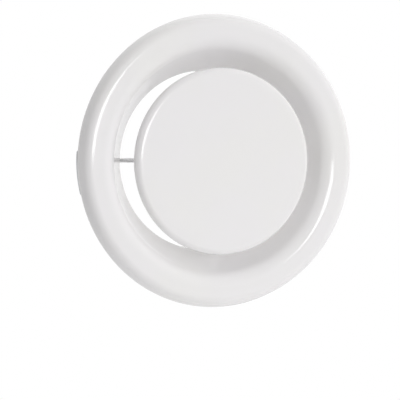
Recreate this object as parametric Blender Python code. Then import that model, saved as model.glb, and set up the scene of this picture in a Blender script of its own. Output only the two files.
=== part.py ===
# Round disc air valve for an extract duct: a pressed steel ring with a funnel throat, and a
# disc on a threaded spindle that screws in a bridge across the throat.
# Metres. The front faces -Y, +Z is up, and the axis of the valve is the Y axis.
# The origin is on that axis, in the plane where the foam gasket meets the wall.

import bisect
import itertools
import math

import bmesh
import bpy
from mathutils import Matrix, Vector

# Driving dimensions

# Duct, clearances and fineness
gap = 0.0003
turned_steps = 64
small_turned_steps = 20
hub_turned_steps = 32
rivet_steps = 10

# Ring: one pressed sheet, from the rolled back edge over the front into the throat
ring_radius = 0.082
ring_sheet = 0.0009
rim_height = 0.0110
rim_lip = 0.0022
rim_back_bend = 0.0028
rim_front_bend = 0.0066
rim_face_width = 0.0051
throat_edge_bend = 0.0094
cone_angle = math.radians(27)
cone_length = 0.0236
neck_bend = 0.0040
neck_length = 0.0242

# Foam gasket in the hollow of the rim
gasket_proud = 0.0010
gasket_width = 0.0075
gasket_chamfer = 0.0008

# Disc: one pressed dish with a rolled edge
disc_edge_inset = 0.0183
disc_sheet = 0.0009
disc_depth = 0.0053
disc_proud = 0.0030
disc_lip = 0.0012
disc_front_bend = 0.0026
disc_back_bend = 0.0015

# Hub: a pressed cup welded in the back of the disc
hub_sheet = 0.0012
hub_flange_radius = 0.0190
hub_cup_radius = 0.0115
hub_bend = 0.0018

# Spindle: an M8 stud with a flat round head held in the hub
spindle_radius = 0.0040
spindle_head_radius = 0.0078
spindle_head_height = 0.0020
spindle_end_chamfer = 0.0008
spindle_spare_length = 0.0045

# Nuts and washer
nut_flats = 0.0130
jam_nut_height = 0.0040
lock_nut_height = 0.0065
bridge_nut_height = 0.0115
nut_chamfer = math.radians(30)
washer_radius = 0.0080
washer_height = 0.0016

# Bridge: two strips on edge, pinched together at the neck and spread round the nut
strip_sheet = 0.0008
strip_rivet_clearance = 0.0004
strip_rivet_inset = 0.0062
strip_set_back = 0.0042
strip_slot = 0.0008
strip_pinch_length = 0.0055
strip_bend = 0.0015
strip_foot_height = 0.0095
strip_spread_angle = math.radians(50)
strip_joggle_angle = math.radians(20)
strip_nut_margin = 0.0012

# Clamp springs: three tongues on the outside of the neck
spring_count = 3
spring_first_angle = math.radians(185)
spring_half_angle = math.radians(10)
spring_columns = 8
spring_sheet = 0.0006
spring_foot = 0.0080
spring_end_margin = 0.0010
spring_bend = 0.0030
spring_flare = math.radians(62)
spring_run = 0.0229
spring_curl_bend = 0.0040
spring_curl = math.radians(25)
spring_tip_radius = 0.0266
spring_corner = 0.0030

# Rivets
rivet_radius = 0.0015
rivet_head_radius = 0.0026
rivet_head_height = 0.0010
rivet_tail_radius = 0.0022
rivet_tail_height = 0.0008
spring_rivet_offset = math.radians(5.5)

# Screw travel
travel_open = 0.0075

# Sizes that follow from the above
crown_y = -rim_height - gasket_proud
disc_front_y = crown_y - disc_proud
hub_front_y = disc_front_y + disc_sheet + gap
spindle_front_y = disc_front_y + disc_sheet + gap
hub_plate_y = spindle_front_y + spindle_head_height + gap
jam_nut_y = hub_plate_y + hub_sheet + gap
disc_radius = ring_radius - rim_front_bend - rim_face_width - disc_edge_inset


# Materials


def surface(name, colour, roughness, metallic=0.0):
    material = bpy.data.materials.new(name)
    material.use_nodes = True
    shader = material.node_tree.nodes["Principled BSDF"]
    shader.inputs["Base Color"].default_value = (*colour, 1.0)
    shader.inputs["Roughness"].default_value = roughness
    shader.inputs["Metallic"].default_value = metallic
    material.diffuse_color = (*colour, 1.0)
    return material


# Section of a bent sheet: straight runs and bends, walked along the skin on the left hand


class SheetWalk:
    def __init__(self, point, heading):
        self.point = Vector(point)
        self.heading = heading
        self.stations = []
        self.mark()

    def outward(self):
        return Vector((-math.sin(self.heading), math.cos(self.heading)))

    def mark(self):
        self.stations.append((self.point.copy(), self.outward()))

    def run(self, length):
        self.point += length * Vector((math.cos(self.heading), math.sin(self.heading)))
        self.mark()

    # A bend to the right is negative, and the radius is that of the walked skin
    def bend(self, radius, angle, steps):
        side = -1 if angle < 0 else 1
        centre = self.point + side * radius * self.outward()
        for _ in range(steps):
            self.heading += angle / steps
            self.point = centre - side * radius * self.outward()
            self.mark()

    def skins(self, sheet):
        left = [point for point, _ in self.stations]
        right = [point - sheet * outward for point, outward in self.stations]
        return left, right

    # Distance along the walk of each station
    def distances(self):
        points = [point for point, _ in self.stations]
        sides = [(end - start).length for start, end in zip(points, points[1:])]
        return [0.0, *itertools.accumulate(sides)]

    # Place and outward direction at a distance along the walk
    def at(self, distance):
        marks = self.distances()
        index = min(bisect.bisect_right(marks, distance), len(marks) - 1)
        share = (distance - marks[index - 1]) / (marks[index] - marks[index - 1])
        here, first = self.stations[index - 1]
        there, second = self.stations[index]
        return here.lerp(there, share), first.lerp(second, share).normalized()


# Objects


def add_object(name, bm, material, smooth_angle=math.radians(32)):
    bmesh.ops.remove_doubles(bm, verts=bm.verts, dist=1e-7)
    bmesh.ops.recalc_face_normals(bm, faces=bm.faces)
    mesh = bpy.data.meshes.new(name)
    bm.to_mesh(mesh)
    bm.free()
    mesh.shade_smooth()
    mesh.set_sharp_from_angle(angle=smooth_angle)
    if material:
        mesh.materials.append(material)
    obj = bpy.data.objects.new(name, mesh)
    bpy.context.scene.collection.objects.link(obj)
    return obj


def add_cutter(name, bm):
    obj = add_object(name, bm, None)
    obj.hide_render = True
    obj.display_type = "WIRE"
    return obj


def cut(obj, cutter, operation="DIFFERENCE"):
    modifier = obj.modifiers.new(operation.title(), "BOOLEAN")
    modifier.operation = operation
    modifier.solver = "EXACT"
    modifier.object = cutter


# A closed section in (radius, height), turned about an axis. A side on the axis is left out
def turned(section, steps, axis=(0, 1, 0)):
    bm = bmesh.new()
    axis = Vector(axis)
    spots = [Vector((max(radius, 0), 0, 0)) + height * axis for radius, height in section]
    corners = [bm.verts.new(spot) for spot in spots]
    edges = []
    for start, end in zip(corners, corners[1:] + corners[:1]):
        if max(start.co.x, end.co.x) > 1e-7:
            edges.append(bm.edges.new((start, end)))
    bmesh.ops.spin(
        bm,
        geom=corners + edges,
        axis=axis,
        cent=(0, 0, 0),
        angle=math.tau,
        steps=steps,
        use_merge=True,
    )
    return bm


# A closed outline in (x, z), extruded from front_y over depth
def extruded(outline, front_y, depth):
    bm = bmesh.new()
    face = bm.faces.new([bm.verts.new((x, front_y, z)) for x, z in outline])
    swept = bmesh.ops.extrude_face_region(bm, geom=[face])
    moved = [item for item in swept["geom"] if isinstance(item, bmesh.types.BMVert)]
    bmesh.ops.translate(bm, verts=moved, vec=(0, depth, 0))
    return bm


def cylinder(bm, radius, length, steps, matrix):
    bmesh.ops.create_cone(
        bm,
        cap_ends=True,
        segments=steps,
        radius1=radius,
        radius2=radius,
        depth=length,
        matrix=matrix,
    )


# A frame at an angle round the valve, its Z axis pointing away from the axis of the valve
def radial_frame(angle, radius, y):
    outward = Vector((math.cos(angle), 0, math.sin(angle)))
    along = Vector((0, 1, 0))
    across = along.cross(outward)
    turn = Matrix((across, along, outward)).transposed().to_4x4()
    return Matrix.Translation(radius * outward + y * along) @ turn


# Front part of a pressed round sheet with a rolled back edge, walked from the lip inwards
def rolled_edge(radius, back_y, height, lip, back_bend, front_bend, bend_steps):
    walk = SheetWalk((radius - back_bend - lip, back_y), 0)
    walk.run(lip)
    walk.bend(back_bend, -math.pi / 2, bend_steps)
    walk.run(height - back_bend - front_bend)
    walk.bend(front_bend, -math.pi / 2, bend_steps + 1)
    return walk


# Pieces


def ring_walk():
    walk = rolled_edge(
        ring_radius, -gasket_proud, rim_height, rim_lip, rim_back_bend, rim_front_bend, 3
    )
    walk.run(rim_face_width)
    walk.bend(throat_edge_bend, cone_angle - math.pi / 2, 4)
    walk.run(cone_length)
    walk.bend(neck_bend, -cone_angle, 2)
    walk.run(neck_length)
    return walk


# Each rivet: its name, angle, y, and the radii under its head and over its tail
def rivet_places(neck_radius, strip_y, spring_y):
    places = []
    foot_radius = neck_radius - gap - strip_sheet
    foot_angle = math.asin((strip_foot_height + strip_bend) / 2 / foot_radius)
    for side, base in (("right", 0), ("left", math.pi)):
        for level, turn in (("upper", 1), ("lower", -1)):
            angle = base + turn * foot_angle * math.cos(base)
            name = f"bridge_rivet_{side}_{level}"
            head = neck_radius + ring_sheet + gap
            places.append((name, angle, strip_y, head, foot_radius - gap))
    for index in range(spring_count):
        for letter, turn in (("a", -1), ("b", 1)):
            angle = spring_first_angle + index * math.tau / spring_count
            angle += turn * spring_rivet_offset
            name = f"spring_rivet_{index + 1}{letter}"
            head = neck_radius + ring_sheet + gap + spring_sheet + gap
            places.append((name, angle, spring_y, head, neck_radius - gap))
    return places


def build_rivet_cutter(places):
    bm = bmesh.new()
    for _, angle, y, head, tail in places:
        middle = radial_frame(angle, (head + tail) / 2, y)
        cylinder(bm, rivet_radius + gap, head - tail, rivet_steps, middle)
    return add_cutter("rivet_hole_cutter", bm)


def build_ring(walk, holes, paint):
    front, back = walk.skins(ring_sheet)
    ring = add_object("valve_ring", turned(front + back[::-1], turned_steps), paint)
    cut(ring, holes)
    return ring


def build_gasket(foam):
    outer = ring_radius - rim_back_bend - rim_lip - gap
    inner = outer - gasket_width
    front = crown_y + ring_sheet + gap
    section = [
        (inner, 0),
        (inner, front + gasket_chamfer),
        (inner + gasket_chamfer, front),
        (outer - gasket_chamfer, front),
        (outer, front + gasket_chamfer),
        (outer, 0),
    ]
    return add_object("gasket", turned(section, turned_steps), foam)


def build_disc(paint):
    back_y = disc_front_y + disc_depth
    walk = rolled_edge(
        disc_radius, back_y, disc_depth, disc_lip, disc_back_bend, disc_front_bend, 2
    )
    walk.run(disc_radius - disc_front_bend)
    front, back = walk.skins(disc_sheet)
    return add_object("disc", turned(front + back[::-1], turned_steps), paint)


def build_hub(steel):
    depth = hub_plate_y + hub_sheet - hub_front_y
    hole = spindle_radius + gap
    walk = SheetWalk((hole, hub_plate_y + hub_sheet), 0)
    walk.run(hub_cup_radius - hub_bend - hole)
    walk.bend(hub_bend, -math.pi / 2, 3)
    walk.run(depth - 2 * hub_bend)
    walk.bend(hub_bend - hub_sheet, math.pi / 2, 3)
    walk.run(hub_flange_radius - hub_cup_radius - hub_bend + hub_sheet)
    outer, inner = walk.skins(hub_sheet)
    return add_object("disc_hub", turned(outer + inner[::-1], hub_turned_steps), steel)


def build_spindle(back_y, steel):
    neck = spindle_front_y + spindle_head_height
    section = [
        (0, spindle_front_y),
        (spindle_head_radius, spindle_front_y),
        (spindle_head_radius, neck),
        (spindle_radius, neck),
        (spindle_radius, back_y - spindle_end_chamfer),
        (spindle_radius - spindle_end_chamfer, back_y),
        (0, back_y),
    ]
    return add_object("spindle", turned(section, small_turned_steps), steel)


# A hexagon nut with both ends chamfered; its flats face up and down
def build_nut(name, front_y, height, steel):
    corner = nut_flats / 2 / math.cos(math.pi / 6)
    turns = [math.tau * index / 6 for index in range(6)]
    outline = [(corner * math.cos(turn), corner * math.sin(turn)) for turn in turns]
    nut = add_object(name, extruded(outline, 0, height), steel)
    nut.location.y = front_y
    reach = corner * 1.2
    slope = math.tan(nut_chamfer)
    drop = (reach - nut_flats / 2) * slope
    barrel = [
        (0, 0),
        (nut_flats / 2, 0),
        (reach, drop),
        (reach, height - drop),
        (nut_flats / 2, height),
        (0, height),
    ]
    chamfer = add_cutter(f"{name}_chamfer", turned(barrel, small_turned_steps))
    bm = bmesh.new()
    along = Matrix.Translation((0, height / 2, 0)) @ Matrix.Rotation(math.pi / 2, 4, "X")
    cylinder(bm, spindle_radius + gap, 2 * height, small_turned_steps, along)
    bore = add_cutter(f"{name}_bore", bm)
    for helper in (chamfer, bore):
        helper.parent = nut
    cut(nut, chamfer, "INTERSECT")
    cut(nut, bore)
    return nut


def build_washer(front_y, steel):
    inner = spindle_radius + gap
    section = [
        (inner, 0),
        (washer_radius, 0),
        (washer_radius, washer_height),
        (inner, washer_height),
    ]
    washer = add_object("lock_washer", turned(section, small_turned_steps), steel)
    washer.location.y = front_y
    return washer


# One bridge strip: half of its outline is walked from the middle out to the foot
def build_strip(name, side, neck_radius, front_y, depth, holes, steel):
    foot_radius = neck_radius - gap
    pinched_z = gap / 2
    slot_z = strip_slot / 2
    nut_z = nut_flats / 2 + gap
    foot_start = math.asin((pinched_z + strip_bend) / (foot_radius - strip_bend))
    foot_end = math.asin(strip_foot_height / foot_radius)
    joggle = bend_drop(strip_bend, strip_sheet, strip_joggle_angle)
    spread = bend_drop(strip_bend, strip_sheet, strip_spread_angle)
    spread_run = (nut_z - slot_z - spread[1]) / math.sin(strip_spread_angle)
    joggle_run = (slot_z - pinched_z - joggle[1]) / math.sin(strip_joggle_angle)
    nut_half = nut_flats / 2 / math.cos(math.pi / 6) / 2 + strip_nut_margin
    pinch_x = (foot_radius - strip_bend) * math.cos(foot_start)
    joggle_x = foot_radius - strip_pinch_length

    walk = SheetWalk((0, nut_z), math.pi)
    walk.run(nut_half)
    walk.bend(strip_bend, strip_spread_angle, 3)
    walk.run(spread_run)
    walk.bend(strip_bend + strip_sheet, -strip_spread_angle, 3)
    walk.run(joggle_x + walk.point.x - joggle[0] - joggle_run * math.cos(strip_joggle_angle))
    walk.bend(strip_bend, strip_joggle_angle, 2)
    walk.run(joggle_run)
    walk.bend(strip_bend + strip_sheet, -strip_joggle_angle, 2)
    walk.run(pinch_x + walk.point.x)
    walk.bend(strip_bend, -math.pi / 2 - foot_start, 4)
    walk.bend(foot_radius, foot_start - foot_end, 2)
    lower, upper = walk.skins(strip_sheet)
    half = lower + upper[::-1]
    other = [Vector((-point.x, point.y)) for point in reversed(half)]
    outline = other[:-1] + half[:-1]
    outline = [(point.x, side * point.y) for point in outline]
    strip = add_object(name, extruded(outline, front_y, depth), steel)
    cut(strip, holes)
    return strip


# Length and height that a pair of opposite bends takes up, without the run between them
def bend_drop(inner, sheet, angle):
    radii = inner + inner + sheet
    return radii * math.sin(angle), radii * (1 - math.cos(angle))


# A clamp spring tongue, its foot on the neck and its rounded tip flared towards the front
def build_spring(index, neck_radius, back_y, holes, steel):
    foot_radius = neck_radius + ring_sheet + gap + spring_sheet
    walk = SheetWalk((foot_radius, back_y), -math.pi / 2)
    walk.run(spring_foot)
    walk.bend(spring_bend, spring_flare, 3)
    flare_start = walk.distances()[-1]
    walk.run(spring_run)
    walk.bend(spring_curl_bend, -spring_flare - spring_curl, 5)
    marks = walk.distances()
    tip_half = spring_half_angle * walk.point.x
    centre_angle = spring_first_angle + index * math.tau / spring_count
    bm = bmesh.new()
    inner = []
    outer = []
    for column in range(spring_columns + 1):
        across = 2 * column / spring_columns - 1
        angle = centre_angle + across * spring_half_angle
        reach = 1 - tip_cut(abs(across) * tip_half, tip_half) / (marks[-1] - flare_start)
        lines = ([], [])
        for mark in marks:
            past_bend = max(0.0, mark - flare_start)
            point, outward = walk.at(mark - past_bend * (1 - reach))
            for line, lift in zip(lines, (0, spring_sheet)):
                radius, y = point - lift * outward
                spot = (radius * math.cos(angle), y, radius * math.sin(angle))
                line.append(bm.verts.new(spot))
        inner.append(lines[0])
        outer.append(lines[1])
    close_shell(bm, inner, outer)
    spring = add_object(f"clamp_spring_{index + 1}", bm, steel)
    cut(spring, holes)
    return spring


# Faces of two grids of vertices and of the border between them
def close_shell(bm, inner, outer):
    last_column = len(inner) - 1
    last_row = len(inner[0]) - 1
    for a in range(last_column):
        for c in range(last_row):
            bm.faces.new((inner[a][c], inner[a + 1][c], inner[a + 1][c + 1], inner[a][c + 1]))
            bm.faces.new((outer[a][c], outer[a][c + 1], outer[a + 1][c + 1], outer[a + 1][c]))
    border = [(column, 0) for column in range(last_column)]
    border += [(last_column, row) for row in range(last_row)]
    border += [(column, last_row) for column in range(last_column, 0, -1)]
    border += [(0, row) for row in range(last_row, 0, -1)]
    for (a, c), (b, d) in zip(border, border[1:] + border[:1]):
        bm.faces.new((inner[a][c], inner[b][d], outer[b][d], outer[a][c]))


# How far the rounded tip with its round corners falls back, off to the side of its middle
def tip_cut(offset, half_width):
    arc = spring_tip_radius - math.sqrt(spring_tip_radius**2 - offset**2)
    into_corner = max(0.0, offset - half_width + spring_corner)
    return arc + spring_corner - math.sqrt(spring_corner**2 - into_corner**2)


# A rivet along its own Z axis: domed head outside, flat tail inside
def build_rivet(name, grip, steel):
    tail_z = -grip - rivet_tail_height
    section = [(0, tail_z), (rivet_tail_radius, tail_z), (rivet_tail_radius, -grip)]
    section += [(rivet_radius, -grip), (rivet_radius, 0)]
    for turn in (0, math.pi / 6, math.pi / 3, math.pi / 2):
        spot = (rivet_head_radius * math.cos(turn), rivet_head_height * math.sin(turn))
        section.append(spot)
    return add_object(name, turned(section, rivet_steps, axis=(0, 0, 1)), steel)


def build_rivets(places, steel):
    for name, angle, y, head, tail in places:
        rivet = build_rivet(name, head - tail, steel)
        rivet.matrix_world = radial_frame(angle, head, y)


def build():
    paint = surface("white_powder_coat", (0.80, 0.80, 0.79), 0.28)
    zinc = surface("zinc_plated_steel", (0.62, 0.63, 0.64), 0.35, 1.0)
    spring_steel = surface("spring_steel", (0.38, 0.39, 0.41), 0.30, 1.0)
    foam = surface("gasket_foam", (0.16, 0.16, 0.17), 0.95)

    walk = ring_walk()
    neck_back = walk.stations[-1][0]
    neck_front = walk.stations[-2][0]
    neck_radius = neck_back.x
    strip_y = neck_front.y + strip_set_back
    spring_y = neck_back.y - spring_end_margin
    spring_rivet_y = spring_y - spring_foot / 2
    strip_back_y = spring_rivet_y - rivet_tail_radius - strip_rivet_clearance
    strip_depth = strip_back_y - strip_y
    strip_rivet_y = strip_back_y - strip_rivet_inset
    places = rivet_places(neck_radius, strip_rivet_y, spring_rivet_y)
    holes = build_rivet_cutter(places)

    build_ring(walk, holes, paint)
    build_gasket(foam)
    build_strip("bridge_strip_upper", 1, neck_radius, strip_y, strip_depth, holes, zinc)
    build_strip("bridge_strip_lower", -1, neck_radius, strip_y, strip_depth, holes, zinc)
    bridge_nut_y = strip_back_y - bridge_nut_height
    build_nut("bridge_nut", bridge_nut_y, bridge_nut_height, zinc)
    for index in range(spring_count):
        build_spring(index, neck_radius, spring_y, holes, spring_steel)
    build_rivets(places, zinc)

    build_disc(paint)
    build_hub(zinc)
    build_nut("jam_nut", jam_nut_y, jam_nut_height, zinc)
    washer_y = strip_back_y + gap
    lock_nut_y = washer_y + washer_height + gap
    build_washer(washer_y, zinc)
    build_nut("lock_nut", lock_nut_y, lock_nut_height, zinc)
    spindle_back_y = lock_nut_y + lock_nut_height + travel_open + spindle_spare_length
    build_spindle(spindle_back_y, zinc)


for old in list(bpy.data.objects):
    bpy.data.objects.remove(old, do_unlink=True)
build()
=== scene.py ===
import math

import bmesh
import bpy
from mathutils import Matrix, Vector


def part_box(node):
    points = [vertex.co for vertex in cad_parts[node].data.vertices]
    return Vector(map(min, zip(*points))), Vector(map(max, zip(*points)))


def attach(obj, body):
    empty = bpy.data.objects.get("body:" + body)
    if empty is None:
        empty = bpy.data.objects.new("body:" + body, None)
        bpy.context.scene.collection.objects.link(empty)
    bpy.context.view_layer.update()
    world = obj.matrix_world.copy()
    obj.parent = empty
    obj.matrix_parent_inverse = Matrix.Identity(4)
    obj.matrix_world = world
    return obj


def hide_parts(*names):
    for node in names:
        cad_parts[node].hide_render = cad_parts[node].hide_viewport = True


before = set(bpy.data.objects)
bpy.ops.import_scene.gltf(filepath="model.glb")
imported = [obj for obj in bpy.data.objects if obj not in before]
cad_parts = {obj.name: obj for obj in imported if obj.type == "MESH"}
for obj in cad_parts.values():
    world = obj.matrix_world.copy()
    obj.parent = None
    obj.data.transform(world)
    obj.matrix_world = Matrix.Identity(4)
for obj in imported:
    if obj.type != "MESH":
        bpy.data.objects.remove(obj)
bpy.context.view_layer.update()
print("frame loaded:", len(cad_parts), "solids")


# Node trees: a socket that can be added, multiplied and so on like a number

def plug(socket, value):
    if isinstance(value, Wire):
        socket.id_data.links.new(value.socket, socket)
    else:
        socket.default_value = value


def addNode(tree, kind, settings=None, values=None, output=0):
    node = tree.nodes.new(kind)
    for key, value in (settings or {}).items():
        setattr(node, key, value)
    for key, value in (values or {}).items():
        plug(node.inputs[key], value)
    return Wire(node.outputs[output])


class Wire:
    def __init__(self, socket):
        self.socket = socket
        self.tree = socket.id_data

    def node(self, kind, settings=None, values=None, output=0):  # any other node of the same tree
        return addNode(self.tree, kind, settings, values, output)

    def calc(self, operation, first, second=0.0):
        return self.node("ShaderNodeMath", {"operation": operation}, {0: first, 1: second})

    def __add__(self, other):
        return self.calc("ADD", self, other)

    def __radd__(self, other):
        return self.calc("ADD", other, self)

    def __sub__(self, other):
        return self.calc("SUBTRACT", self, other)

    def __rsub__(self, other):
        return self.calc("SUBTRACT", other, self)

    def __mul__(self, other):
        return self.calc("MULTIPLY", self, other)

    def __rmul__(self, other):
        return self.calc("MULTIPLY", other, self)

    def __truediv__(self, other):
        return self.calc("DIVIDE", self, other)

    def __rtruediv__(self, other):
        return self.calc("DIVIDE", other, self)

    def __pow__(self, other):
        return self.calc("POWER", self, other)

    def __neg__(self):
        return self.calc("MULTIPLY", self, -1.0)

    def sine(self):
        return self.calc("SINE", self)

    def cosine(self):
        return self.calc("COSINE", self)

    def tangent(self):
        return self.calc("TANGENT", self)

    def floor(self):
        return self.calc("FLOOR", self)

    def fraction(self):
        return self.calc("FRACT", self)

    def absolute(self):
        return self.calc("ABSOLUTE", self)

    def least(self, other):
        return self.calc("MINIMUM", self, other)

    def most(self, other):
        return self.calc("MAXIMUM", self, other)

    def ease(self, low, high):  # 0 to 1, a smooth step between two levels
        values = {"Value": self, "From Min": low, "From Max": high}
        return self.node("ShaderNodeMapRange", {"interpolation_type": "SMOOTHSTEP"}, values)


def mixColours(factor, first, second):
    ends = [(*end, 1.0) if isinstance(end, tuple) else end for end in (first, second)]
    values = {0: factor, 6: ends[0], 7: ends[1]}  # 6 and 7 are the two colours
    return factor.node("ShaderNodeMix", {"data_type": "RGBA"}, values, 2)


def joined(x, y, z):
    tree = next(part.tree for part in (x, y, z) if isinstance(part, Wire))
    return addNode(tree, "ShaderNodeCombineXYZ", None, {0: x, 1: y, 2: z})


def split(vector):
    node = vector.node("ShaderNodeSeparateXYZ", None, {0: vector}).socket.node
    return [Wire(output) for output in node.outputs]


# Materials

def newFinish(name, constants):
    material = bpy.data.materials.new(name)
    material.use_nodes = True
    shader = material.node_tree.nodes["Principled BSDF"]
    for key, value in constants.items():
        shader.inputs[key].default_value = value
    place = addNode(material.node_tree, "ShaderNodeTexCoord", output=3)  # Object coordinates
    return material, shader, place


def stretched(place, scale):  # the place with each direction scaled
    return place.node("ShaderNodeMapping", None, {"Vector": place, "Scale": scale})


def noise(place, scale, detail=2.0, roughness=0.5):
    values = {"Vector": place, "Scale": scale, "Detail": detail, "Roughness": roughness}
    return place.node("ShaderNodeTexNoise", None, values)


def cells(place, scale, output=0):  # output 0 is the distance to a cell's middle, 1 its own colour
    return place.node("ShaderNodeTexVoronoi", None, {"Vector": place, "Scale": scale}, output)


def bumped(height, distance, strength=1.0, under=None):
    values = {"Height": height, "Distance": distance, "Strength": strength}
    if under:
        values["Normal"] = under
    return height.node("ShaderNodeBump", None, values)


coat = {
    "colour": (0.892, 0.878, 0.885),
    "warmColour": (0.892, 0.881, 0.872),  # where the coat lies thinner
    "behindColour": (0.822, 0.812, 0.810),  # darker and rougher behind the wall line, in patches
    "patches": 22.0,  # of the warm colour, in a metre
    "roughness": 0.06,
    "roughnessSpread": 0.035,
    "peelScale": 420.0,  # waves in a metre
    "peelDepth": 0.0000045,
    "peelRoughness": 0.02,
    "specks": 2600.0,  # in a metre
    "speckDepth": 0.0000012,
    "darkFrom": 0.004,  # metres behind the wall line
    "darkFull": 0.034,
    "darkPatches": 60.0,
    "darkRoughness": 0.12,
}


def makeCoat():
    material, shader, place = newFinish("glossWhiteCoat", {"IOR": 1.5})
    broad = noise(place, coat["patches"], 3.0)
    peel = noise(place, coat["peelScale"], 2.0, 0.45)
    specks = noise(place, coat["specks"], 1.0)
    behind = split(place)[1].ease(coat["darkFrom"], coat["darkFull"])
    colour = mixColours(broad.ease(0.35, 0.7), coat["colour"], coat["warmColour"])
    # darker, rougher patches that deepen behind the wall line
    darkBehind = behind * noise(place, coat["darkPatches"], 4.0).ease(0.3, 0.75)
    plug(shader.inputs["Base Color"], mixColours(darkBehind, colour, coat["behindColour"]))
    rough = coat["roughness"] + coat["roughnessSpread"] * broad + coat["darkRoughness"] * darkBehind
    plug(shader.inputs["Roughness"], rough + coat["peelRoughness"] * peel)
    waves = bumped(peel, coat["peelDepth"])
    plug(shader.inputs["Normal"], bumped(specks, coat["speckDepth"], under=waves))
    return material


zinc = {
    "colour": (0.62, 0.63, 0.65),
    "darkColour": (0.47, 0.48, 0.50),
    "goldColour": (0.62, 0.60, 0.54),
    "roughness": 0.27,
    "spangles": 900.0,  # in a metre
    "clouds": 85.0,
    "goldPatches": 40.0,
    "goldShare": 0.5,
    "grain": (90.0, 1500.0, 1500.0),  # rolling lines along X
    "grainDepth": 0.000006,
}


def makeZinc():
    material, shader, place = newFinish("zincPlate", {"Metallic": 1.0})
    spangle = cells(place, zinc["spangles"])
    lines = noise(stretched(place, zinc["grain"]), 1.0, 3.0, 0.6)
    cloud = noise(place, zinc["clouds"], 4.0, 0.6)
    gold = noise(place, zinc["goldPatches"], 2.0).ease(0.5, 0.8) * zinc["goldShare"]
    colour = mixColours(cloud.ease(0.38, 0.72), zinc["colour"], zinc["darkColour"])
    plug(shader.inputs["Base Color"], mixColours(gold, colour, zinc["goldColour"]))
    rough = zinc["roughness"] + 0.16 * cloud + 0.10 * lines + 0.05 * spangle
    plug(shader.inputs["Roughness"], rough)
    plug(shader.inputs["Normal"], bumped(lines + 0.3 * cloud, zinc["grainDepth"]))
    return material


galvanised = {
    "colour": (0.84, 0.84, 0.84),
    "darkColour": (0.72, 0.725, 0.73),
    "metal": 0.12,  # the dull layer mostly scatters the light
    "roughness": 0.42,
    "crystals": 380.0,  # in a metre
    "crystalDrift": 0.0012,  # how far their edges wander
    "clouds": 120.0,
    "grainDepth": 0.000005,
}


def makeGalvanised():
    constants = {"Metallic": galvanised["metal"], "Specular IOR Level": 0.4}
    material, shader, place = newFinish("galvanisedSheet", constants)
    drift = galvanised["crystalDrift"] * noise(place, 300.0, 2.0)
    warped = place.node("ShaderNodeVectorMath", {"operation": "ADD"}, {0: place, 1: drift})
    crystal = split(cells(warped, galvanised["crystals"], 1))[0]
    cloud = noise(place, galvanised["clouds"], 4.0, 0.6)
    shade = 0.65 * crystal.ease(0.1, 0.9) + 0.35 * cloud
    colour = mixColours(shade, galvanised["colour"], galvanised["darkColour"])
    plug(shader.inputs["Base Color"], colour)
    plug(shader.inputs["Roughness"], galvanised["roughness"] + 0.12 * shade)
    plug(shader.inputs["Normal"], bumped(crystal + 0.5 * cloud, galvanised["grainDepth"]))
    return material


spring = {
    "colour": (0.50, 0.505, 0.51),
    "blueColour": (0.38, 0.39, 0.41),
    "roughness": 0.24,
    "stains": 55.0,  # in a metre
    "grain": (1300.0, 120.0, 1300.0),  # drawn along the axis
    "grainDepth": 0.000004,
}


def makeSpringSteel():
    material, shader, place = newFinish("blueSpringSteel", {"Metallic": 1.0})
    grain = noise(stretched(place, spring["grain"]), 1.0, 3.0, 0.6)
    stain = noise(place, spring["stains"], 4.0, 0.6)
    colour = mixColours(stain.ease(0.35, 0.7), spring["colour"], spring["blueColour"])
    plug(shader.inputs["Base Color"], colour)
    plug(shader.inputs["Roughness"], spring["roughness"] + 0.2 * stain + 0.08 * grain)
    plug(shader.inputs["Normal"], bumped(grain, spring["grainDepth"]))
    return material


foam = {
    "colour": (0.150, 0.150, 0.155),
    # painted shade: the pores are darker than the cell walls
    "poreShadeColour": (0.055, 0.055, 0.058),
    "poreScale": 1500.0,  # in a metre
    "smallPoreScale": 3400.0,
    "poreDepth": 0.00022,
    "roughness": 0.88,
}


def makeFoam():
    constants = {"Sheen Weight": 0.15, "Specular IOR Level": 0.25}
    material, shader, place = newFinish("cellFoam", constants)
    small = cells(place, foam["smallPoreScale"])
    wall = cells(place, foam["poreScale"]).ease(0.15, 0.6)
    # painted shade in the pores: the cell middles take the darker colour
    plug(shader.inputs["Base Color"], mixColours(wall, foam["poreShadeColour"], foam["colour"]))
    plug(shader.inputs["Normal"], bumped(wall + 0.4 * small, foam["poreDepth"], 0.7))
    plug(shader.inputs["Roughness"], foam["roughness"] + 0.1 * noise(place, 300.0))
    return material


threadSteel = {
    "crestRadius": 0.0040,
    "rootRadius": 0.0033,
    "crestColour": (0.66, 0.67, 0.68),
    "rootColour": (0.24, 0.23, 0.22),  # darker in the thread roots, in patches
    "rootPatchScale": 420.0,  # patches in a metre
    "roughness": 0.24,
    "rootRoughness": 0.3,
    "turning": (40.0, 5200.0, 40.0),  # fine lines round the stud
    "turningDepth": 0.000004,
}


def makeThreadSteel():
    material, shader, place = newFinish("threadedStud", {"Metallic": 1.0})
    x, _, z = split(place)
    radius = (x * x + z * z) ** 0.5
    groove = 1 - radius.ease(threadSteel["rootRadius"], threadSteel["crestRadius"])
    # darker and rougher in the thread roots, in patches
    patchy = groove * noise(place, threadSteel["rootPatchScale"], 4.0, 0.6).ease(0.25, 0.6)
    colour = mixColours(patchy, threadSteel["crestColour"], threadSteel["rootColour"])
    plug(shader.inputs["Base Color"], colour)
    rough = threadSteel["roughness"] + threadSteel["rootRoughness"] * patchy
    plug(shader.inputs["Roughness"], rough + 0.12 * noise(place, 300.0, 3.0))
    turning = noise(stretched(place, threadSteel["turning"]), 1.0, 2.0)
    plug(shader.inputs["Normal"], bumped(turning, threadSteel["turningDepth"]))
    return material


whiteCoat = makeCoat()
zincPlate = makeZinc()
galvanisedSheet = makeGalvanised()
springSteel = makeSpringSteel()
cellFoam = makeFoam()
studSteel = makeThreadSteel()
print("finishes made:", len(bpy.data.materials))


# Shape trees: each has named sizes, and is baked to a plain mesh

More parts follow.
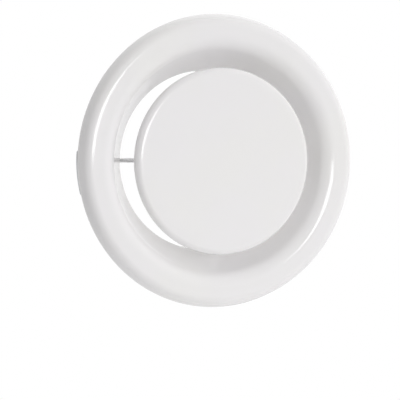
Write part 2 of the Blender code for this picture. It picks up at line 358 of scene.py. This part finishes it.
def newShape(name, sizes):
    tree = bpy.data.node_groups.new(name, "GeometryNodeTree")
    tree.interface.new_socket("Geometry", in_out="OUTPUT", socket_type="NodeSocketGeometry")
    for label, value in sizes.items():
        kind = "NodeSocketInt" if isinstance(value, int) else "NodeSocketFloat"
        tree.interface.new_socket(label, in_out="INPUT", socket_type=kind)
    entry = tree.nodes.new("NodeGroupInput")
    return tree, {label: Wire(entry.outputs[label]) for label in sizes}


def closeShape(tree, geometry, material):
    geometry = geometry.node("GeometryNodeRealizeInstances", None, {0: geometry})
    values = {"Geometry": geometry, "Material": material}
    geometry = geometry.node("GeometryNodeSetMaterial", None, values)
    plug(tree.nodes.new("NodeGroupOutput").inputs[0], geometry)


def named(geometry, name, value):  # keeps a value on each point
    values = {"Geometry": geometry, "Name": name, "Value": value}
    return geometry.node("GeometryNodeStoreNamedAttribute", {"data_type": "FLOAT"}, values)


def recall(tree, name):
    return addNode(tree, "GeometryNodeInputNamedAttribute", {"data_type": "FLOAT"}, {"Name": name})


mostCuts = 60.0  # of one straight run
noStride = 0.01  # longer than the runs of a small section, which stay uncut
fewBendSteps = 3


# A line through (radius, height) corners, each with the bend that rounds it
def bentSection(tree, corners, bendSteps, stride, closed=False):
    index = addNode(tree, "GeometryNodeInputIndex")
    chooser = {}
    for key, kind in (("spot", "VECTOR"), ("bend", "FLOAT")):
        node = tree.nodes.new("GeometryNodeIndexSwitch")
        node.data_type = kind
        for _ in range(len(corners) - 2):
            node.index_switch_items.new()
        plug(node.inputs[0], index)
        for number, (radius, height, bend) in enumerate(corners):
            wires = isinstance(radius, Wire) or isinstance(height, Wire)
            spot = joined(radius, height, 0.0) if wires else (radius, height, 0.0)
            plug(node.inputs[number + 1], spot if key == "spot" else bend)
        chooser[key] = Wire(node.outputs[0])
    line = addNode(tree, "GeometryNodeMeshLine", None, {"Count": len(corners)})
    line = line.node("GeometryNodeSetPosition", None, {"Geometry": line, "Position": chooser["spot"]})
    line = named(line, "bend", chooser["bend"])
    line = line.node("GeometryNodeMeshToCurve", None, {0: line})
    if closed:
        line = line.node("GeometryNodeSetSplineCyclic", None, {"Geometry": line, "Cyclic": True})
    values = {"Curve": line, "Count": bendSteps, "Radius": recall(tree, "bend"), "Limit Radius": True}
    line = line.node("GeometryNodeFilletCurve", {"mode": "POLY"}, values)
    here = addNode(tree, "GeometryNodeInputPosition")
    values = {"Value": here, "Index": index + 1}
    there = here.node("GeometryNodeFieldAtIndex", {"data_type": "FLOAT_VECTOR"}, values)
    values = {0: there, 1: here}
    length = here.node("ShaderNodeVectorMath", {"operation": "DISTANCE"}, values, 1)
    cuts = (length / stride).floor().least(mostCuts)
    return line.node("GeometryNodeSubdivideCurve", None, {"Curve": line, "Cuts": cuts})


poleGap = 0.000002  # points nearer than this, as on the axis, become one


# That line turned once round the axis of the valve
def turnedSurface(tree, section, steps):
    spot = split(addNode(tree, "GeometryNodeInputPosition"))
    section = named(named(section, "reach", spot[0]), "height", spot[1])
    circle = section.node("GeometryNodeCurvePrimitiveCircle", None, {"Resolution": steps})
    turn = addNode(tree, "GeometryNodeInputIndex") * math.tau / steps
    circle = named(circle, "turn", turn)
    values = {"Curve": circle, "Profile Curve": section}
    surface = section.node("GeometryNodeCurveToMesh", None, values)
    turn, reach, height = (recall(tree, name) for name in ("turn", "reach", "height"))
    spot = joined(reach * turn.cosine(), height, reach * turn.sine())
    surface = surface.node("GeometryNodeSetPosition", None, {"Geometry": surface, "Position": spot})
    values = {"Geometry": surface, "Distance": poleGap}
    return surface.node("GeometryNodeMergeByDistance", None, values)


helperValues = ("bend", "reach", "height", "turn", "along")  # kept on points while a tree runs
sharpAngle = math.radians(35)
seamGap = 0.0000005


def smoothed(mesh, angle):
    bm = bmesh.new()
    bm.from_mesh(mesh)
    bmesh.ops.remove_doubles(bm, verts=bm.verts, dist=seamGap)
    bmesh.ops.recalc_face_normals(bm, faces=bm.faces)
    bm.to_mesh(mesh)
    bm.free()
    for name in [attribute.name for attribute in mesh.attributes if attribute.name in helperValues]:
        mesh.attributes.remove(mesh.attributes[name])
    mesh.shade_smooth()
    mesh.set_sharp_from_angle(angle=angle)
    return mesh


# Evaluates an object's modifiers into a plain mesh at the origin
def bake(name, holder, angle=sharpAngle):
    graph = bpy.context.evaluated_depsgraph_get()
    mesh = bpy.data.meshes.new_from_object(holder.evaluated_get(graph), depsgraph=graph)
    mesh.name = name
    bpy.data.objects.remove(holder)
    piece = bpy.data.objects.new(name, smoothed(mesh, angle))
    bpy.context.scene.collection.objects.link(piece)
    return piece


def newHolder(name, mesh=None, material=None):
    mesh = mesh or bpy.data.meshes.new(name + "Start")
    if material:
        mesh.materials.append(material)
    holder = bpy.data.objects.new(name + "Start", mesh)
    bpy.context.scene.collection.objects.link(holder)
    return holder


def shapeHolder(name, tree, sizes):
    holder = newHolder(name)
    modifier = holder.modifiers.new("shape", "NODES")
    modifier.node_group = tree
    for item in tree.interface.items_tree:
        if item.in_out == "INPUT":
            modifier[item.identifier] = sizes[item.name]
    return holder


def thicken(holder, sheet):
    modifier = holder.modifiers.new("sheet", "SOLIDIFY")
    modifier.thickness = sheet
    modifier.offset = 0.0
    modifier.use_even_offset = True
    modifier.use_quality_normals = True


softAngle = math.radians(50)


def soften(holder, width, angle=softAngle):
    modifier = holder.modifiers.new("edges", "BEVEL")
    modifier.width = width
    modifier.segments = 2
    modifier.limit_method = "ANGLE"
    modifier.angle_limit = angle
    modifier.harden_normals = False


def settle(piece, body, slot, *nodes):
    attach(piece, body)
    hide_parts(*nodes)
    return piece


# Valve ring: rolled back edge, domed rim, flat face, throat edge, cone and neck in one sheet

ring = {
    "Rim radius": 0.082,
    "Sheet": 0.0009,
    "Rim height": 0.0110,
    "Wall line": -0.0010,  # the rolled edge stands this far in front of the gasket's face
    "Lip": 0.0022,
    "Back bend": 0.0028,
    "Wall lean": math.radians(16),  # the rim's side wall leans in to the front
    "Front bend": 0.0054,
    "Face inside": 0.0703,  # the flat face ends here
    "Throat edge bend": 0.0094,
    "Cone angle": math.radians(27),
    "Cone length": 0.0236,
    "Neck bend": 0.0040,
    "Neck length": 0.0242,
    "Steps": 144,
    "Bend steps": 9,
    "Stride": 0.0013,  # straight runs are cut into lengths of about this
}
ringSoftEdge = 0.0002


def ringSection(size):
    skin = size["Sheet"] / 2
    front = size["Wall line"] - size["Rim height"] + skin
    back = size["Wall line"] - skin
    outer = size["Rim radius"] - skin
    cone = size["Cone angle"]
    edgeBend = size["Throat edge bend"] - skin
    neckBend = size["Neck bend"] - skin
    edgeReach = edgeBend * ((math.pi / 2 - cone) / 2).tangent()
    neckReach = neckBend * (cone / 2).tangent()
    half = (math.pi / 2 - size["Wall lean"]) / 2
    heel = outer + (size["Back bend"] - skin) * (1 / half.tangent() - 1)  # the bend still meets outer
    brow = heel - (back - front) * size["Wall lean"].tangent()
    edgeRadius = size["Face inside"] - edgeReach
    slant = edgeReach + size["Cone length"] + neckReach
    neckRadius = edgeRadius - slant * cone.sine()
    neckFront = front + slant * cone.cosine()
    return [
        (size["Rim radius"] - size["Back bend"] - size["Lip"], back, 0.0),
        (heel, back, size["Back bend"] - skin),
        (brow, front, size["Front bend"] - skin),
        (edgeRadius, front, edgeBend),
        (neckRadius, neckFront, neckBend),
        (neckRadius, neckFront + neckReach + size["Neck length"], 0.0),
    ]


# Inner radius of the neck, and its back edge
def neckSizes():
    cone = ring["Cone angle"]
    edgeReach = ring["Throat edge bend"] * math.tan((math.pi / 2 - cone) / 2)
    neckReach = ring["Neck bend"] * math.tan(cone / 2)
    slant = edgeReach + ring["Cone length"] + neckReach
    radius = ring["Face inside"] - edgeReach
    front = ring["Wall line"] - ring["Rim height"] + slant * math.cos(cone) + neckReach
    return radius - slant * math.sin(cone), front + ring["Neck length"]


def makeTurned(name, sizes, sectionRule, material, closed=False):
    tree, size = newShape(name + "Shape", sizes)
    section = bentSection(tree, sectionRule(size), size["Bend steps"], size["Stride"], closed)
    closeShape(tree, turnedSurface(tree, section, size["Steps"]), material)
    return shapeHolder(name, tree, sizes)


neckRadius, neckBack = neckSizes()
play = 0.0003  # between pieces that touch
holder = makeTurned("valveRing", ring, ringSection, whiteCoat)
thicken(holder, ring["Sheet"])
soften(holder, ringSoftEdge)
valveRing = settle(bake("valveRing", holder), "valve", "powder_coat", "valve_ring")
print("ring:", len(valveRing.data.polygons), "faces")


# Disc: one shallow dish with a rolled edge

disc = {
    "Radius": 0.052,
    "Sheet": 0.0009,
    "Front": -0.0150,
    "Depth": 0.0053,
    "Lip": 0.0012,
    "Front bend": 0.0034,
    "Back bend": 0.0015,
    "Steps": 144,
    "Bend steps": 9,
    "Stride": 0.0022,
}
discSoftEdge = 0.0002


def discSection(size):
    skin = size["Sheet"] / 2
    outer = size["Radius"] - skin
    front = size["Front"] + skin
    back = size["Front"] + size["Depth"] - skin
    return [
        (size["Radius"] - size["Back bend"] - size["Lip"], back, 0.0),
        (outer, back, size["Back bend"] - skin),
        (outer, front, size["Front bend"] - skin),
        (0.0, front, 0.0),
    ]


holder = makeTurned("valveDisc", disc, discSection, whiteCoat)
thicken(holder, disc["Sheet"])
soften(holder, discSoftEdge)
settle(bake("valveDisc", holder), "plate", "powder_coat", "disc")


# Hub: a pressed cup welded in the back of the disc

hub = {
    "Flange radius": 0.0190,
    "Cup radius": 0.0115,
    "Hole radius": 0.0043,
    "Sheet": 0.0012,
    "Flange front": -0.0138,
    "Plate back": -0.0103,
    "Bend": 0.0018,
    "Steps": 96,
    "Bend steps": 6,
    "Stride": 0.0013,
}
hubSoftEdge = 0.00015


def hubSection(size):
    skin = size["Sheet"] / 2
    cup = size["Cup radius"] - skin
    plate = size["Plate back"] - skin
    flange = size["Flange front"] + skin
    bend = size["Bend"] - skin
    return [
        (size["Hole radius"], plate, 0.0),
        (cup, plate, bend),
        (cup, flange, bend),
        (size["Flange radius"], flange, 0.0),
    ]


holder = makeTurned("discHub", hub, hubSection, zincPlate)
thicken(holder, hub["Sheet"])
soften(holder, hubSoftEdge)
settle(bake("discHub", holder), "plate", "zinc", "disc_hub")


# Gasket: a foam ring pressed in the hollow of the rim

gasket = {
    "Outer radius": 0.0767,
    "Width": 0.0075,
    "Front": -0.0108,
    "Back": 0.0,
    "Front round": 0.0011,
    "Back round": 0.0006,
    "Steps": 144,
    "Bend steps": 4,
    "Stride": 0.0015,
}


def gasketSection(size):
    inner = size["Outer radius"] - size["Width"]
    return [
        (inner, size["Back"], size["Back round"]),
        (inner, size["Front"], size["Front round"]),
        (size["Outer radius"], size["Front"], size["Front round"]),
        (size["Outer radius"], size["Back"], size["Back round"]),
    ]


holder = makeTurned("gasketRing", gasket, gasketSection, cellFoam, closed=True)
settle(bake("gasketRing", holder), "valve", "foam", "gasket")


# Lock washer

washer = {
    "Hole radius": 0.0043,
    "Radius": 0.0080,
    "Front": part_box("lock_washer")[0].y,
    "Height": 0.0016,
    "Round": 0.0002,
    "Steps": 72,
    "Bend steps": 3,
    "Stride": 0.002,
}


def washerSection(size):
    back = size["Front"] + size["Height"]
    return [
        (size["Hole radius"], size["Front"], size["Round"]),
        (size["Radius"], size["Front"], size["Round"]),
        (size["Radius"], back, size["Round"]),
        (size["Hole radius"], back, size["Round"]),
    ]


holder = makeTurned("washerRing", washer, washerSection, zincPlate, closed=True)
settle(bake("washerRing", holder), "washer", "zinc", "lock_washer")
print("disc, hub, gasket and washer done")


# Sizes of the bridge strips and of the clamp springs, which the rivets hold

strip = {
    "sheet": 0.0008,
    "footHeight": 0.0095,
    "pinchedHeight": 0.00015,
    "slotHeight": 0.00028,
    "nutHeight": 0.0068,
    "nutHalf": 0.004953,
    "pinchLength": 0.0055,
    "bend": 0.0015,
    "spread": math.radians(50),
    "joggle": math.radians(10),
    "softEdge": 0.00012,
    "softAngle": math.radians(60),
}

tongue = {
    "sheet": 0.0006,
    "endMargin": 0.0010,
    "foot": 0.0080,
    "bend": 0.0030,
    "flare": math.radians(62),
    "run": 0.0229,
    "curlBend": 0.0040,
    "curl": math.radians(25),
    "halfAngle": math.radians(10),
    "tipRadius": 0.0266,
    "corner": 0.0030,
    "columns": 32,
    "angles": (185, 305, 65),
    "softEdge": 0.0001,
}


# Rivets: pairs round the neck, each with a domed head outside and a pressed tail inside

domeSteps = 6


def makeRivets(name, sizes, material):
    tree, size = newShape(name + "Shape", sizes)
    grip = size["Head radius from axis"] - size["Tail radius from axis"]
    tail = -grip - size["Tail height"]
    corners = [
        (0.0, tail, 0.0),
        (size["Tail radius"], tail, size["Tail round"]),
        (size["Tail radius"], -grip, size["Tail edge"]),
        (size["Shank radius"], -grip, 0.0),
        (size["Shank radius"], 0.0, 0.0),
    ]
    for step in range(domeSteps):
        lift = step / domeSteps * math.pi / 2
        radius, height = size["Head radius"] * math.cos(lift), size["Head height"] * math.sin(lift)
        corners.append((radius, height, 0.0))
    corners.append((0.0, size["Head height"], 0.0))
    section = bentSection(tree, corners, fewBendSteps, noStride)
    rivet = turnedSurface(tree, section, size["Steps"])
    index = addNode(tree, "GeometryNodeInputIndex")
    pair = (index / 2).floor()
    side = (index - 2 * pair) * 2 - 1
    angle = size["First angle"] + pair * math.tau / size["Places"] + side * size["Half spread"]
    outward = joined(angle.cosine(), 0.0, angle.sine())
    reach = size["Head radius from axis"]
    spot = joined(angle.cosine() * reach, size["Height on axis"], angle.sine() * reach)
    values = {"Count": size["Places"] * 2, "Position": spot}
    points = addNode(tree, "GeometryNodePoints", None, values)
    values = {"Vector": outward}
    turn = outward.node("FunctionNodeAlignRotationToVector", {"axis": "Y"}, values)
    values = {"Points": points, "Instance": rivet, "Rotation": turn}
    closeShape(tree, points.node("GeometryNodeInstanceOnPoints", None, values), material)
    return bake(name, shapeHolder(name, tree, sizes))


rivetSizes = {
    "Head radius": 0.0026,
    "Head height": 0.0010,
    "Shank radius": 0.0015,
    "Tail radius": 0.0022,
    "Tail height": 0.0008,
    "Tail round": 0.00025,
    "Tail edge": 0.0001,
    "Steps": 20,
}


def midHeight(node):
    low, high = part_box(node)
    return (low.y + high.y) / 2


bridgeRivet = dict(rivetSizes)
bridgeRivet["Head radius from axis"] = neckRadius + ring["Sheet"] + play
bridgeRivet["Tail radius from axis"] = neckRadius - strip["sheet"] - 2 * play
bridgeRivet["Height on axis"] = midHeight("bridge_rivet_right_upper")
bridgeRivet["First angle"] = 0.0
bridgeRivet["Half spread"] = math.asin(
    (strip["footHeight"] + strip["bend"]) / 2 / (neckRadius - play - strip["sheet"])
)
bridgeRivet["Places"] = 2

springRivet = dict(rivetSizes)
springRivet["Head radius from axis"] = neckRadius + ring["Sheet"] + tongue["sheet"] + 2 * play
springRivet["Tail radius from axis"] = neckRadius - play
springRivet["Height on axis"] = midHeight("spring_rivet_1a")
springRivet["First angle"] = math.radians(tongue["angles"][0])
springRivet["Half spread"] = math.radians(5.5)
springRivet["Places"] = len(tongue["angles"])

sides = [f"bridge_rivet_{side}_{level}" for side in ("right", "left") for level in ("upper", "lower")]
settle(makeRivets("bridgeRivets", bridgeRivet, zincPlate), "valve", "zinc", *sides)
pairs = [f"spring_rivet_{number}{letter}" for number in (1, 2, 3) for letter in "ab"]
settle(makeRivets("springRivets", springRivet, zincPlate), "valve", "zinc", *pairs)
print("rivets:", bridgeRivet["Places"] * 2 + springRivet["Places"] * 2)


# Spindle: a stud with a rolled thread all along, and a flat round head in the hub

stud = {
    "Crest radius": 0.0040,
    "Pitch": 0.00125,
    "Thread depth": 0.00070,
    "Front": -0.0122,
    "Back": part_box("spindle")[1].y,
    "End chamfer": 0.0010,
    "Crest share": 0.12,  # of the pitch, flat at the crest and again at the root
    "Head radius": 0.0078,
    "Head front": -0.0138,
    "Head back": -0.0118,
    "Head round": 0.0003,
    "Head steps": 48,
    "Steps": 28,
    "Rows a turn": 9,
}
studSharpAngle = math.radians(55)


def makeStud(sizes, material):
    tree, size = newShape("spindleStudShape", sizes)
    span = size["Back"] - size["Front"]
    rows = (span / size["Pitch"] * size["Rows a turn"]).floor()
    line = addNode(tree, "GeometryNodeMeshLine", None, {"Count": rows})
    line = line.node("GeometryNodeMeshToCurve", None, {0: line})
    index = addNode(tree, "GeometryNodeInputIndex")
    line = named(line, "along", size["Front"] + span * (index / (rows - 1)))
    circle = line.node("GeometryNodeCurvePrimitiveCircle", None, {"Resolution": size["Steps"]})
    circle = named(circle, "turn", index * math.tau / size["Steps"])
    values = {"Curve": line, "Profile Curve": circle, "Fill Caps": True}
    rod = line.node("GeometryNodeCurveToMesh", None, values)
    along, turn = recall(tree, "along"), recall(tree, "turn")
    phase = (along / size["Pitch"] + turn / math.tau).fraction()
    flat = size["Crest share"]
    flank = ((phase - 0.5).absolute() * 2 - flat).most(0.0) / (1 - 2 * flat)
    radius = size["Crest radius"] - size["Thread depth"] * flank.least(1.0)
    end = size["Crest radius"] - size["End chamfer"] + (size["Back"] - along)
    radius = radius.least(end)
    spot = joined(radius * turn.cosine(), along, radius * turn.sine())
    rod = rod.node("GeometryNodeSetPosition", None, {"Geometry": rod, "Position": spot})
    corners = [
        (0.0, size["Head front"], 0.0),
        (size["Head radius"], size["Head front"], size["Head round"]),
        (size["Head radius"], size["Head back"], size["Head round"]),
        (0.0, size["Head back"], 0.0),
    ]
    section = bentSection(tree, corners, fewBendSteps, noStride)
    head = turnedSurface(tree, section, size["Head steps"])
    both = tree.nodes.new("GeometryNodeJoinGeometry")
    for geometry in (rod, head):
        tree.links.new(geometry.socket, both.inputs[0])
    closeShape(tree, Wire(both.outputs[0]), material)
    return bake("spindleStud", shapeHolder("spindleStud", tree, sizes), studSharpAngle)


spindleStud = settle(makeStud(stud, studSteel), "screw", "zinc", "spindle")
print("stud:", len(spindleStud.data.polygons), "faces")


# Nuts: six flats, chamfered at both ends

nuts = {
    "acrossFlats": 0.0130,
    "bore": 0.0043,
    "boreChamfer": 0.0005,
    "slope": math.tan(math.radians(30)),
    "faceShare": 0.97,  # the round face against the flats
    "softEdge": 0.00012,
    "softAngle": math.radians(24),
    "steps": 72,
}


# Rows of points with faces between them
def gridHolder(name, rows, material, closedRows=False, closedPoints=False, capped=False):
    bm = bmesh.new()
    lines = [[bm.verts.new(spot) for spot in row] for row in rows]
    count = len(lines[0])
    following = lines[1:] + lines[:1] if closedRows else lines[1:]
    for line, other in zip(lines, following):
        for k in range(count if closedPoints else count - 1):
            m = (k + 1) % count
            bm.faces.new((line[k], line[m], other[m], other[k]))
    if capped:
        for end in (0, -1):
            bm.faces.new([line[end] for line in lines])
    bmesh.ops.recalc_face_normals(bm, faces=bm.faces)
    mesh = bpy.data.meshes.new(name)
    bm.to_mesh(mesh)
    bm.free()
    return newHolder(name, mesh, material)


def makeNut(name, node, body):
    low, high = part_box(node)
    flat = nuts["acrossFlats"] / 2
    face = flat * nuts["faceShare"]
    hole = nuts["bore"] + nuts["boreChamfer"]
    sections = []
    for step in range(nuts["steps"]):
        turn = math.tau * step / nuts["steps"]
        corner = flat / math.cos(turn % (math.pi / 3) - math.pi / 6)
        drop = (corner - face) * nuts["slope"]
        section = [
            (hole, low.y),
            (face, low.y),
            (corner, low.y + drop),
            (corner, high.y - drop),
            (face, high.y),
            (hole, high.y),
            (nuts["bore"], high.y - nuts["boreChamfer"]),
            (nuts["bore"], low.y + nuts["boreChamfer"]),
        ]
        sections.append([(radius * math.cos(turn), y, radius * math.sin(turn)) for radius, y in section])
    holder = gridHolder(name, list(zip(*sections)), zincPlate, closedRows=True, closedPoints=True)
    soften(holder, nuts["softEdge"], nuts["softAngle"])
    settle(bake(name, holder), body, "zinc", node)


makeNut("bridgeNut", "bridge_nut", "valve")
makeNut("jamNut", "jam_nut", "plate")
makeNut("lockNut", "lock_nut", "locknut")
print("nuts done")


# A bent strip of sheet: straight runs and bends, walked along the skin on the left hand

class BentLine:
    def __init__(self, spot, heading):
        self.spot = Vector(spot)
        self.heading = heading
        self.stations = []
        self.mark()

    def leftward(self):
        return Vector((-math.sin(self.heading), math.cos(self.heading)))

    def mark(self):
        self.stations.append((self.spot.copy(), self.leftward()))

    def run(self, length, parts=1):
        for _ in range(parts):
            ahead = Vector((math.cos(self.heading), math.sin(self.heading)))
            self.spot += length / parts * ahead
            self.mark()

    def bend(self, radius, angle, steps):
        side = -1 if angle < 0 else 1
        centre = self.spot + side * radius * self.leftward()
        for _ in range(steps):
            self.heading += angle / steps
            self.spot = centre - side * radius * self.leftward()
            self.mark()

    def offset(self, depth):
        return [spot - depth * left for spot, left in self.stations]


# Bridge strips: on edge, pinched at the feet and spread round the nut

def bendDrop(angle):  # length and height of a bend there and back
    radii = 2 * strip["bend"] + strip["sheet"]
    return radii * math.sin(angle), radii * (1 - math.cos(angle))


def makeStrip(name, node, side):
    low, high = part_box(node)
    bend, sheet = strip["bend"], strip["sheet"]
    foot = neckRadius - play
    footStart = math.asin((strip["pinchedHeight"] + bend) / (foot - bend))
    footEnd = math.asin(strip["footHeight"] / foot)
    spreadRun = strip["nutHeight"] - strip["slotHeight"] - bendDrop(strip["spread"])[1]
    joggleRun = strip["slotHeight"] - strip["pinchedHeight"] - bendDrop(strip["joggle"])[1]
    spreadRun /= math.sin(strip["spread"])
    joggleRun /= math.sin(strip["joggle"])
    joggleX = foot - strip["pinchLength"]
    line = BentLine((0, strip["nutHeight"]), math.pi)
    line.run(strip["nutHalf"], 3)
    line.bend(bend, strip["spread"], 8)
    line.run(spreadRun, 3)
    line.bend(bend + sheet, -strip["spread"], 8)
    back = bendDrop(strip["joggle"])[0] + joggleRun * math.cos(strip["joggle"])
    line.run(joggleX + line.spot.x - back, 12)
    line.bend(bend, strip["joggle"], 4)
    line.run(joggleRun)
    line.bend(bend + sheet, -strip["joggle"], 4)
    line.run((foot - bend) * math.cos(footStart) + line.spot.x, 2)
    line.bend(bend, -math.pi / 2 - footStart, 9)
    line.bend(foot, footStart - footEnd, 8)
    skins = []
    for half in (line.offset(0.0), line.offset(sheet)):
        mirrored = [Vector((-spot.x, spot.y)) for spot in reversed(half)]
        skins.append([(spot.x, side * spot.y) for spot in mirrored[:-1] + half])
    inner, outer = skins
    corners = ((inner, low.y), (outer, low.y), (outer, high.y), (inner, high.y))
    rows = [[(x, y, z) for x, z in skin] for skin, y in corners]
    holder = gridHolder(name, rows, galvanisedSheet, closedRows=True, capped=True)
    soften(holder, strip["softEdge"], strip["softAngle"])
    settle(bake(name, holder), "valve", "zinc", node)


makeStrip("upperBridgeStrip", "bridge_strip_upper", 1)
makeStrip("lowerBridgeStrip", "bridge_strip_lower", -1)


# Clamp springs: three tongues riveted on the neck, flared to the front with rounded tips

def tipCut(offset, half):  # what the round tip takes off, this far from the tongue's middle
    arc = tongue["tipRadius"] - math.sqrt(tongue["tipRadius"] ** 2 - offset**2)
    into = max(0.0, offset - half + tongue["corner"])
    return arc + tongue["corner"] - math.sqrt(tongue["corner"] ** 2 - into**2)


def makeTongue(number, degrees):
    foot = neckRadius + ring["Sheet"] + play + tongue["sheet"]
    line = BentLine((foot, neckBack - tongue["endMargin"]), -math.pi / 2)
    line.run(tongue["foot"], 6)
    line.bend(tongue["bend"], tongue["flare"], 8)
    flareMark = len(line.stations) - 1
    line.run(tongue["run"], 14)
    line.bend(tongue["curlBend"], -tongue["flare"] - tongue["curl"], 14)
    spots = line.offset(tongue["sheet"] / 2)
    marks = [0.0]
    for first, second in zip(spots, spots[1:]):
        marks.append(marks[-1] + (second - first).length)

    def at(mark):  # the spot this far along the line
        k = max(1, next((k for k, edge in enumerate(marks) if edge >= mark), len(marks) - 1))
        share = (mark - marks[k - 1]) / (marks[k] - marks[k - 1])
        return spots[k - 1].lerp(spots[k], share)

    flareStart = marks[flareMark]
    half = tongue["halfAngle"] * line.spot.x
    rows = []
    for column in range(tongue["columns"] + 1):
        across = 2 * column / tongue["columns"] - 1
        angle = math.radians(degrees) + across * tongue["halfAngle"]
        cut = tipCut(abs(across) * half, half) / (marks[-1] - flareStart)
        row = []
        for mark in marks:
            radius, y = at(mark - cut * max(0.0, mark - flareStart))
            row.append((radius * math.cos(angle), y, radius * math.sin(angle)))
        rows.append(row)
    name = f"clampSpring{number}"
    holder = gridHolder(name, rows, springSteel)
    thicken(holder, tongue["sheet"])
    soften(holder, tongue["softEdge"])
    settle(bake(name, holder), "valve", "spring_steel", f"clamp_spring_{number}")


for number, degrees in enumerate(tongue["angles"], 1):
    makeTongue(number, degrees)
print("bridge and clamp springs done")


# Floor, light and camera

studio = {
    "floorHeight": -0.30,
    "floorRadius": 1.15,
    "floorColour": (0.86, 0.86, 0.86),
    "floorDarkColour": (0.82, 0.82, 0.82),
    "fade": (0.45, 0.97),  # the floor turns white between these shares of its radius
    "fill": 0.32,  # light from all round
    "slope": (0.30, 0.0, 0.50),  # more of it from the right and from above
    "back": 2.00,  # light of the white background behind the valve
    "camera": {"azimuth": -22.2, "elevation": 2.7, "distance": 1.11, "lens": 179.8},
    "faceMiddle": (0.0, -0.012, 0.0),  # of the rim
    "aside": -0.01246,  # the view's middle, to the right of that point
    "above": -0.02151,
}


def makeFloor():
    bm = bmesh.new()
    bmesh.ops.create_circle(bm, cap_ends=True, radius=studio["floorRadius"], segments=96)
    bmesh.ops.translate(bm, verts=bm.verts, vec=(0, 0, studio["floorHeight"]))
    mesh = bpy.data.meshes.new("floor")
    bm.to_mesh(mesh)
    bm.free()
    material, shader, place = newFinish("paleFloor", {"Roughness": 0.9, "Specular IOR Level": 0.1})
    x, y, _ = split(place)
    start, end = (share * studio["floorRadius"] for share in studio["fade"])
    edge = ((x * x + y * y) ** 0.5).ease(start, end)
    shade = 0.98 + 0.02 * noise(place, 6.0)
    tint = mixColours(shade, studio["floorDarkColour"], studio["floorColour"])
    plug(shader.inputs["Base Color"], tint)
    glow = place.node("ShaderNodeEmission", None, {"Color": (1.0, 1.0, 1.0, 1.0), "Strength": 1.0})
    camera = place.node("ShaderNodeLightPath")
    values = {0: edge * camera, 1: Wire(shader.outputs[0]), 2: glow}
    blended = place.node("ShaderNodeMixShader", None, values)
    output = material.node_tree.nodes["Material Output"]
    plug(output.inputs["Surface"], blended)
    mesh.materials.append(material)
    floor = bpy.data.objects.new("floor", mesh)
    bpy.context.scene.collection.objects.link(floor)


def makeWorld():
    world = bpy.data.worlds.new("studioAir")
    world.use_nodes = True
    bpy.context.scene.world = world
    tree = world.node_tree
    background = tree.nodes["Background"]
    background.inputs["Color"].default_value = (1.0, 1.0, 1.0, 1.0)
    path = addNode(tree, "ShaderNodeLightPath").socket.node
    rays = ("Is Camera Ray", "Is Glossy Ray", "Is Transmission Ray")
    camera, glossy, through = (Wire(path.outputs[name]) for name in rays)
    shown = camera.most(glossy).most(through)
    x, y, z = split(addNode(tree, "ShaderNodeTexCoord"))
    slope = studio["slope"]
    fill = (studio["fill"] + slope[0] * x + slope[1] * y + slope[2] * z).most(0.0)
    fill = fill + studio["back"] * y.most(0.0) ** 3
    plug(background.inputs["Strength"], fill + shown * (1 - fill))


lamps = {
    "key": {"spot": (1.00, -1.25, 0.55), "size": (1.0, 1.0), "power": 4.0, "shine": False},
    "top": {"spot": (0.10, -0.70, 1.40), "size": (1.0, 1.0), "power": 2.2, "shine": False},
    "shine": {"spot": (0.11, -1.50, 0.115), "size": (0.58, 0.28), "power": 3.6, "shine": True},
}


def makeLamps():
    for name, lamp in lamps.items():
        light = bpy.data.lights.new(name, "AREA")
        light.shape = "RECTANGLE"
        light.size, light.size_y = lamp["size"]
        light.energy = lamp["power"]
        obj = bpy.data.objects.new(name, light)
        obj.visible_glossy = lamp["shine"]
        spot = Vector(lamp["spot"])
        turn = (-spot).to_track_quat("-Z", "Y").to_matrix().to_4x4()
        obj.matrix_world = Matrix.Translation(spot) @ turn
        bpy.context.scene.collection.objects.link(obj)


def makeCamera():
    view = studio["camera"]
    azimuth, elevation = math.radians(view["azimuth"]), math.radians(view["elevation"])
    outward = Vector((
        math.sin(azimuth) * math.cos(elevation),
        -math.cos(azimuth) * math.cos(elevation),
        math.sin(elevation),
    ))
    right = Vector((math.cos(azimuth), math.sin(azimuth), 0.0))
    up = outward.cross(right)
    target = Vector(studio["faceMiddle"]) + studio["aside"] * right + studio["above"] * up
    lens = bpy.data.cameras.new("photoCamera")
    lens.lens = view["lens"]
    lens.sensor_width = 36.0
    lens.clip_end = 20.0
    camera = bpy.data.objects.new("photoCamera", lens)
    turn = Matrix((right, up, outward)).transposed().to_4x4()
    camera.matrix_world = Matrix.Translation(target + view["distance"] * outward) @ turn
    bpy.context.scene.collection.objects.link(camera)
    bpy.context.scene.camera = camera


makeFloor()
makeWorld()
makeLamps()
makeCamera()
bpy.context.scene.view_settings.view_transform = "Standard"
print("floor, light and camera done")
